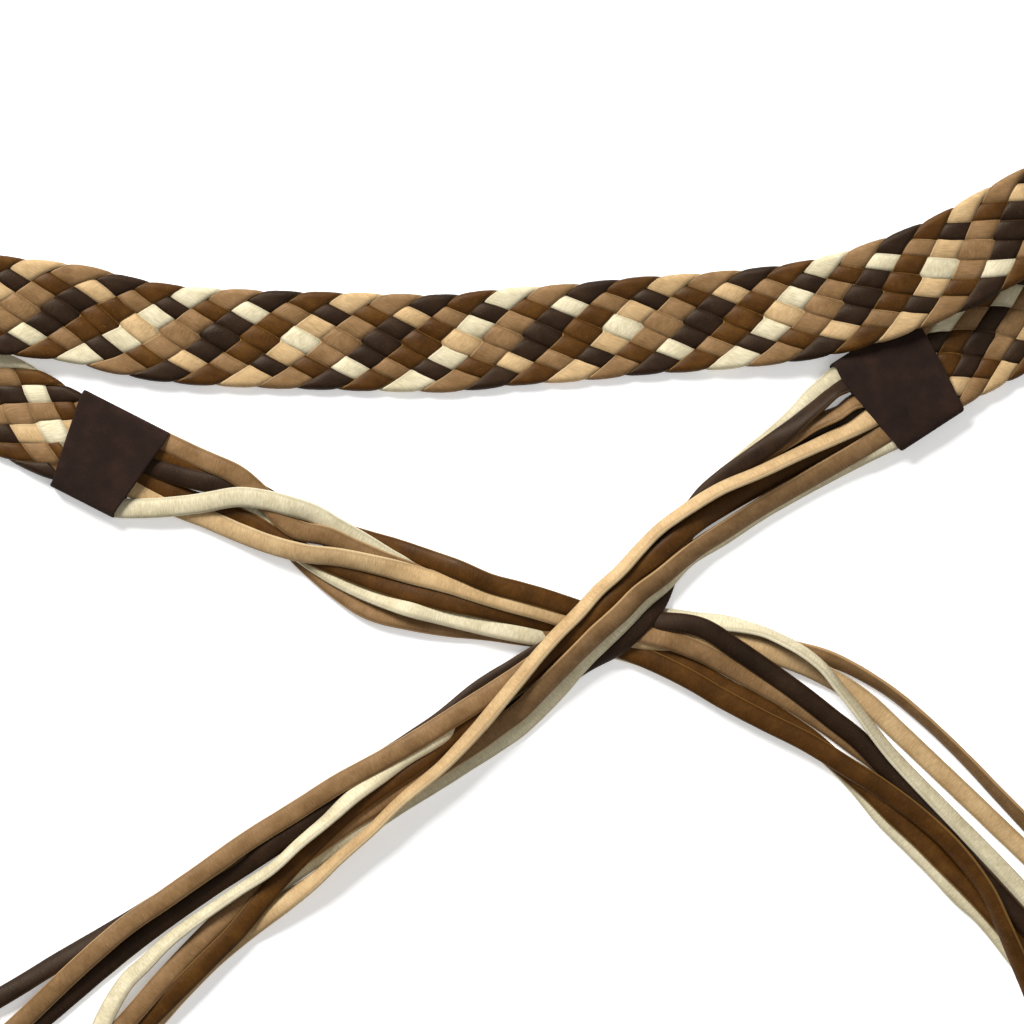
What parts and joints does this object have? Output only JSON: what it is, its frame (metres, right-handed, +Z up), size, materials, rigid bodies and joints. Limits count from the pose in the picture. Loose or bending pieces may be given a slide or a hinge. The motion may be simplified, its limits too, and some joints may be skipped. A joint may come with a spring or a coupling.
{
  "type": "braided leather rein",
  "caption": "Flat rein plaited from leather laces in mixed tones, bound near each end by a suede wrap and finished in long loose laces.",
  "frame": {"origin": "on the standing surface, under the middle of the box round the plaited strap and its wraps; the loose laces reach past that box towards -Y", "axes": "+X along the lying strap from its left fold to its right fold, +Y from the loose laces towards the long span, +Z up out of the standing surface"},
  "size_m": [0.4114, 0.2589, 0.0179],
  "materials": {
    "cream_leather": "satin",
    "tan_leather": "satin",
    "camel_leather": "satin",
    "brown_leather": "satin",
    "espresso_leather": "satin",
    "wrap_suede": "matte",
    "binding_thread": "matte"
  },
  "bodies": {
    "root": {"strand_1": "cream_leather", "strand_2": "camel_leather", "strand_3": "espresso_leather", "strand_4": "brown_leather", "strand_5": "tan_leather", "strand_6": "camel_leather", "strand_7": "espresso_leather", "strand_8": "brown_leather", "left_wrap": "wrap_suede", "right_wrap": "wrap_suede", "left_binding": "binding_thread", "right_binding": "binding_thread", "left_lace_1": "camel_leather", "left_lace_2": "camel_leather", "left_lace_3": "cream_leather", "left_lace_4": "espresso_leather", "left_lace_5": "brown_leather", "left_lace_6": "brown_leather", "left_lace_7": "tan_leather", "left_lace_8": "cream_leather", "right_lace_1": "cream_leather", "right_lace_2": "espresso_leather", "right_lace_3": "camel_leather", "right_lace_4": "espresso_leather", "right_lace_5": "tan_leather", "right_lace_6": "brown_leather", "right_lace_7": "camel_leather", "right_lace_8": "cream_leather"}
  },
  "joints": []
}
